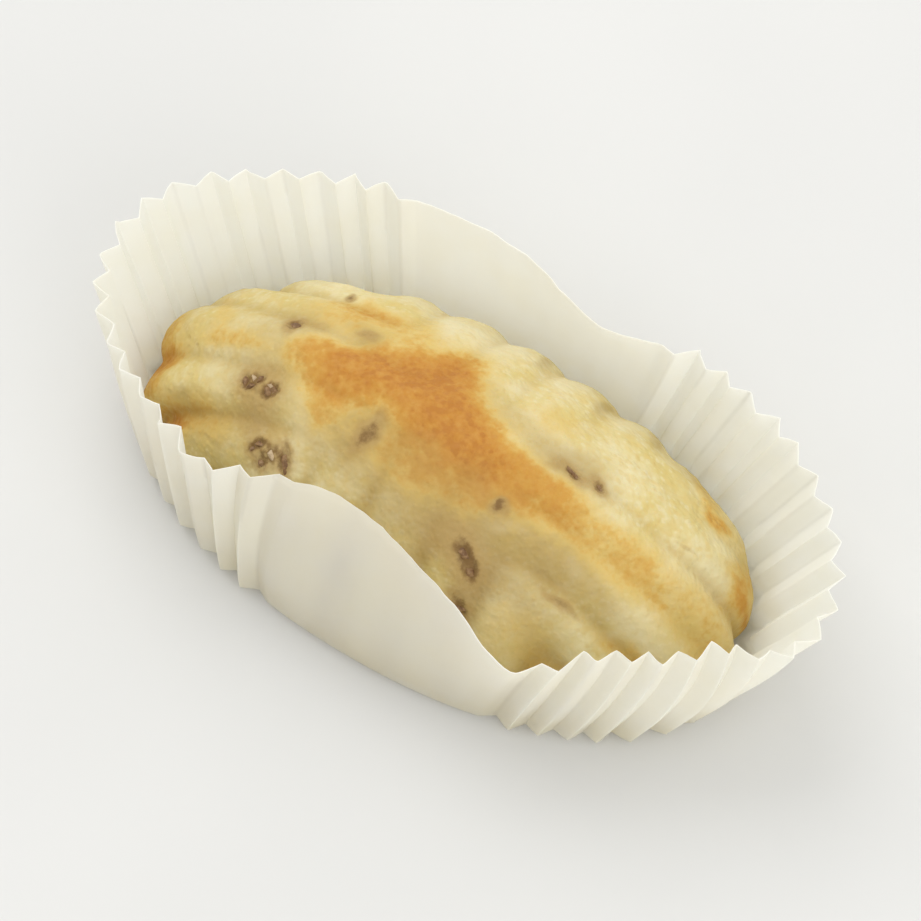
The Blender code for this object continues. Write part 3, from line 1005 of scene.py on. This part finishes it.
def greaseproof_paper(settings):
    """Thin white paper that lets a little light through, warmer near the floor."""
    material, tree, shader, place = new_material("greaseproof_paper")
    cloudy = grain(tree, place, 5.0, 3, 0.55)
    fibres = grain(tree, place, 0.35, 3, 0.65, 0.2)
    white = mixed(tree, stretch(tree, cloudy, 0.3, 0.7, 0, 0.6), settings.white_paper, settings.warm_paper)
    low = stretch(tree, worn(tree, "level"), 0.0, 0.35, 0.3, 0.0)
    low = maths(tree, "MULTIPLY", low, stretch(tree, cloudy, 0.35, 0.6, 0.5, 1.0))
    white = mixed(tree, low, white, settings.buttery_paper)
    white = mixed(tree, stretch(tree, fibres, 0.5, 0.8, 0, 0.25), white, settings.warm_paper)
    normal = bumped(tree, ((cloudy, 0.10, 0.35), (fibres, 0.02, 0.5)))
    fill(tree, shader, {
        "Base Color": white,
        "Roughness": stretch(tree, fibres, 0.3, 0.7, 0.5, 0.68),
        "Normal": normal,
        "Specular IOR Level": 0.3,
    })
    through = add_node(tree, "ShaderNodeBsdfTranslucent", {"Color": white, "Normal": normal})
    inputs = {0: settings.see_through, 1: shader.outputs[0], 2: through.outputs[0]}
    both = add_node(tree, "ShaderNodeMixShader", inputs)
    fill(tree, tree.nodes["Material Output"], {"Surface": both.outputs[0]})
    return material


def pale_floor(settings):
    """Smooth pale board."""
    material, tree, shader, place = new_material("pale_floor")
    cloudy = grain(tree, place, 60.0)
    darker = tuple(0.96 * part for part in settings.floor_color)
    color = mixed(tree, stretch(tree, cloudy, 0.3, 0.7), settings.floor_color, darker)
    fill(tree, shader, {"Base Color": color, "Roughness": 0.7, "Specular IOR Level": 0.2})
    return material


# Making pieces ----

def new_object(name, data):
    """An object in the scene, at the origin."""
    made = bpy.data.objects.new(name, data)
    bpy.context.scene.collection.objects.link(made)
    return made


def mesh_object(name, mesh, material):
    """Write a mesh, in metres, as an object of one material."""
    data = bpy.data.meshes.new(name)
    mesh.to_mesh(data)
    mesh.free()
    data.materials.append(material)
    return new_object(name, data)


def new_piece(name, mesh, material):
    """Write a mesh as a smooth piece that rides on the part."""
    piece = mesh_object(name, mesh, material)
    piece.data.shade_smooth()
    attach(piece, "root")
    return piece


def set_in_box(mesh, box):
    """Scale a mesh in millimetres to a box in metres. Returns its shift in millimetres."""
    low, high = (Vector([end(vert.co[axis] for vert in mesh.verts) for axis in range(3)])
                 for end in (min, max))
    size = high - low
    wanted = box[1] - box[0]
    scale = Vector([wanted[axis] / size[axis] for axis in range(3)])
    middle = (low + high) / 2
    new_middle = (box[0] + box[1]) / 2
    bmesh.ops.translate(mesh, vec=-middle, verts=mesh.verts)
    bmesh.ops.scale(mesh, vec=scale, verts=mesh.verts)
    bmesh.ops.translate(mesh, vec=new_middle, verts=mesh.verts)
    return new_middle / METRES - middle


def sized_box(box, length, width, height):
    """A box of given sizes that stands where another one does."""
    middle = (box[0] + box[1]) / 2
    low = Vector((middle.x - length / 2, middle.y - width / 2, box[0].z))
    return low, Vector((middle.x + length / 2, middle.y + width / 2, box[0].z + height))


def color_property(name, description, red, green, blue):
    """A colour the user may change, set from the values a colour picker shows."""
    return FloatVectorProperty(name=name, description=description, subtype="COLOR", size=3,
                               min=0, max=1, default=tone(red, green, blue))


def number_property(name, description, value, **more):
    """A number the user may change, but not below 0."""
    return FloatProperty(name=name, description=description, default=value, min=0, **more)


def length_property(name, description, value):
    """A length the user may change, in metres."""
    return number_property(name, description, value, soft_max=0.2, precision=5,
                           unit="LENGTH", subtype="DISTANCE")


def angle_property(name, description, value):
    """An angle the user may change, set in degrees."""
    return FloatProperty(name=name, description=description, default=radians(value),
                         unit="ROTATION", subtype="ANGLE")


class MaamoulCookieSettings(PropertyGroup):
    """Sizes and colours of the cookie."""

    length: length_property("Length", "Length of the cookie", COOKIE_SIZE.x)
    width: length_property("Width", "Width of the cookie", COOKIE_SIZE.y)
    height: length_property("Height", "Height of the cookie", COOKIE_SIZE.z)
    pale_dough: color_property("Pale dough", "Dough the oven has hardly touched", 214, 200, 150)
    butter_dough: color_property("Butter dough", "Yellower parts of the pale dough", 205, 186, 121)
    cream_dough: color_property("Cream dough", "Lightest grains of the dough", 221, 212, 175)
    gold_crust: color_property("Gold crust", "Lightly baked dough", 207, 177, 101)
    orange_crust: color_property("Orange crust", "Well baked dough", 195, 147, 65)
    brown_crust: color_property("Brown crust", "Browned dough of the crest", 186, 129, 51)
    dark_crust: color_property("Dark crust", "Darkest grains of the browned dough", 177, 118, 47)
    # Groove shade tint: painted shade laid into the grooves between ribs.
    groove_shade_tint: color_property("Furrow tint", "Tint of the grooves between ribs", 204, 182, 130)
    # Damp and shaded dough: colour of dough the filling has darkened and of painted shade.
    damp_and_shaded_dough: color_property("Damp dough", "Dough that the filling has darkened", 161, 134, 76)
    # Paler patch dough: the colour of the paler patches.
    paler_patch_dough: color_property("Floury dough", "Dough whitened by flour", 218, 208, 173)
    nut_halo: color_property("Nut halo", "Dough that lies near a nut", 168, 139, 84)
    nut_stain: color_property("Nut stain", "Dough right over a nut", 119, 89, 49)


class MaamoulNutSettings(PropertyGroup):
    """Colours of the bits of nut."""

    dark_skin: color_property("Dark skin", "Darkest nut skin", 108, 76, 46)
    brown_skin: color_property("Brown skin", "Paler nut skin", 140, 108, 70)
    flesh: color_property("Flesh", "Cut flesh of the nut", 196, 174, 140)


class MaamoulCaseSettings(PropertyGroup):
    """Sizes and colours of the paper case."""

    length: length_property("Length", "Length of the case at its rim", CASE_SIZE.x)
    width: length_property("Width", "Widest part of the case", CASE_SIZE.y)
    height: length_property("Height", "Height of the case", CASE_SIZE.z)
    paper: length_property("Paper", "Thickness of the paper", 0.00012)
    pleat: length_property("Pleat depth", "How far a fold stands out or in at the rim", 0.0006)
    see_through: number_property("See-through", "Share of the light the paper lets through", 0.68, max=1,
                                 subtype="FACTOR")
    white_paper: color_property("White paper", "Clean paper", 250, 250, 246)
    warm_paper: color_property("Warm paper", "Clouds and fibres in the paper", 249, 248, 241)
    buttery_paper: color_property("Buttery paper", "Paper that has taken up butter", 244, 238, 216)


class MaamoulStageSettings(PropertyGroup):
    """Floor, lights and camera."""

    floor_color: color_property("Floor", "Colour of the floor", 216, 216, 214)
    key_power: number_property("Key light", "Power of the large light overhead", 1.68, unit="POWER")
    fill_power: number_property("Fill light", "Power of the light from the front", 1.05, unit="POWER")
    sky: number_property("Room light", "Strength of the even light of the room", 0.95)
    distance: length_property("Camera distance", "From the camera to the cookie", 0.5531)
    azimuth: angle_property("Camera azimuth", "Turn of the view round the cookie", 31.5)
    elevation: angle_property("Camera elevation", "Height of the view above the floor", 64.0)
    roll: angle_property("Camera roll", "Tilt of the picture", 1.1)
    view_width: length_property("View width", "Width of what the camera sees at the cookie", 0.085)


class MAAMOUL_OT_cookie(Operator):
    """Shape the ribbed, browned cookie in the place of the plain solid"""

    bl_idname = "maamoul.cookie"
    bl_label = "Shape cookie"

    def execute(self, context):
        settings = context.scene.maamoul_cookie
        mesh = make_cookie_mesh()
        box = sized_box(COOKIE_BOX, settings.length, settings.width, settings.height)
        shift = set_in_box(mesh, box)
        piece = new_piece("baked_cookie", mesh, baked_dough(settings))
        piece["own_middle"] = (shift.x, shift.y)
        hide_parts("cookie")
        return {"FINISHED"}


class MAAMOUL_OT_nuts(Operator):
    """Set bits of nut into the dough"""

    bl_idname = "maamoul.nuts"
    bl_label = "Add bits of nut"

    def execute(self, context):
        mesh = make_nut_mesh(bpy.data.objects["baked_cookie"])
        new_piece("nut_bits", mesh, chopped_nut(context.scene.maamoul_nuts))
        return {"FINISHED"}


class MAAMOUL_OT_case(Operator):
    """Fold the pleated paper case in the place of the plain solid"""

    bl_idname = "maamoul.case"
    bl_label = "Fold paper case"

    def execute(self, context):
        settings = context.scene.maamoul_case
        mesh = make_case_mesh(settings.paper / METRES, settings.pleat / METRES)
        set_in_box(mesh, sized_box(CASE_BOX, settings.length, settings.width, settings.height))
        piece = new_piece("pleated_case", mesh, greaseproof_paper(settings))
        piece.data.set_sharp_from_angle(angle=radians(60))
        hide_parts("paper_case")
        return {"FINISHED"}


class MAAMOUL_OT_stage(Operator):
    """Lay the floor, hang the soft lights and set the camera"""

    bl_idname = "maamoul.stage"
    bl_label = "Set stage"

    def execute(self, context):
        settings = context.scene.maamoul_stage
        lay_floor(settings)
        hang_lights(context.scene, settings)
        set_camera(context.scene, settings)
        return {"FINISHED"}


def lay_floor(settings):
    """A wide pale board under the case."""
    mesh = bmesh.new()
    bmesh.ops.create_grid(mesh, x_segments=1, y_segments=1, size=FLOOR_REACH)
    bmesh.ops.translate(mesh, vec=(0, 0, CAD_BOX[0].z), verts=mesh.verts)
    mesh_object("floor", mesh, pale_floor(settings))


def soft_light(name, power, size, place, target):
    """A square soft light that points at a target."""
    light = bpy.data.lights.new(name, "AREA")
    light.energy = power
    light.shape = "SQUARE"
    light.size = size
    hung = new_object(name, light)
    hung.location = place
    hung.rotation_mode = "QUATERNION"
    hung.rotation_quaternion = (target - Vector(place)).to_track_quat("-Z", "Y")


def hang_lights(scene, settings):
    """One large light overhead and behind, one gentle one in front, and a bright room."""
    middle = (CAD_BOX[0] + CAD_BOX[1]) / 2
    soft_light("key_light", settings.key_power, KEY_SIZE, KEY_PLACE, middle)
    soft_light("fill_light", settings.fill_power, FILL_SIZE, FILL_PLACE, middle)
    world = bpy.data.worlds.new("room")
    world.use_nodes = True
    tree = world.node_tree
    fill(tree, tree.nodes["Background"], {"Color": ROOM_COLOR, "Strength": settings.sky})
    scene.world = world
    scene.view_settings.view_transform = "Standard"


def set_camera(scene, settings):
    """A long lens that looks down on the cookie from one side."""
    turn, rise = settings.azimuth, settings.elevation
    back = Vector((sin(turn) * cos(rise), -cos(turn) * cos(rise), sin(rise)))
    camera = bpy.data.cameras.new("camera")
    camera.sensor_width = 36
    camera.lens = camera.sensor_width * settings.distance / settings.view_width
    camera.clip_start = 0.01
    held = new_object("camera", camera)
    held.rotation_mode = "QUATERNION"
    level = (-back).to_track_quat("-Z", "Y")
    held.rotation_quaternion = Matrix.Rotation(settings.roll, 3, back).to_quaternion() @ level
    held.location = Vector(LOOK_AT) + back * settings.distance
    scene.camera = held


class MAAMOUL_PT_panel(Panel):
    """Lists what can be made, with its sizes and colours"""

    bl_idname = "MAAMOUL_PT_panel"
    bl_label = "Maamoul cookie"
    bl_space_type = "VIEW_3D"
    bl_region_type = "UI"
    bl_category = "Maamoul"

    def draw(self, context):
        layout = self.layout
        for operator, group, _ in MAKERS:
            box = layout.box()
            box.operator(operator.bl_idname)
            settings = getattr(context.scene, group)
            for name in settings.__annotations__:
                box.prop(settings, name)


MAKERS = (
    (MAAMOUL_OT_cookie, "maamoul_cookie", MaamoulCookieSettings),
    (MAAMOUL_OT_nuts, "maamoul_nuts", MaamoulNutSettings),
    (MAAMOUL_OT_case, "maamoul_case", MaamoulCaseSettings),
    (MAAMOUL_OT_stage, "maamoul_stage", MaamoulStageSettings),
)


def register():
    for operator, name, group in MAKERS:
        bpy.utils.register_class(group)
        bpy.utils.register_class(operator)
        setattr(bpy.types.Scene, name, PointerProperty(type=group))
    bpy.utils.register_class(MAAMOUL_PT_panel)


def unregister():
    bpy.utils.unregister_class(MAAMOUL_PT_panel)
    for operator, name, group in reversed(MAKERS):
        delattr(bpy.types.Scene, name)
        bpy.utils.unregister_class(operator)
        bpy.utils.unregister_class(group)


def main():
    """Make every piece, then the stage."""
    register()
    bpy.ops.maamoul.cookie()
    bpy.ops.maamoul.nuts()
    bpy.ops.maamoul.case()
    bpy.ops.maamoul.stage()


if __name__ == "__main__":
    main()
